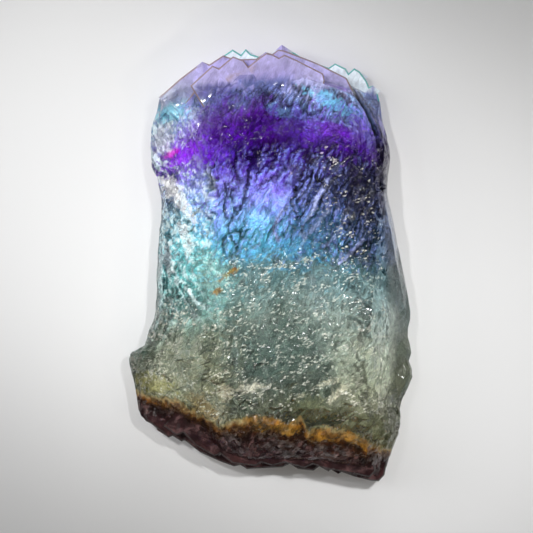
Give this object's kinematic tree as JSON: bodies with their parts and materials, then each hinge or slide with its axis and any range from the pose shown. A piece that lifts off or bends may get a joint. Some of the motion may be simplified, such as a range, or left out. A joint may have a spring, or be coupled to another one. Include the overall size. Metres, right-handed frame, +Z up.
{
  "type": "rough fluorite slab",
  "caption": "Broken slab of colour-banded, see-through fluorite with octahedral crystal points along both ends, lying on its flat back; a display mineral.",
  "frame": {"origin": "under the middle of the slab, on the surface that its flat back rests on", "axes": "+Z up, out of the broken front; +Y along the slab towards its large crystals; +X across it"},
  "size_m": [0.065, 0.1, 0.0293],
  "materials": {
    "fluorite": "satin"
  },
  "bodies": {
    "root": {"fluorite": "fluorite"}
  },
  "joints": []
}
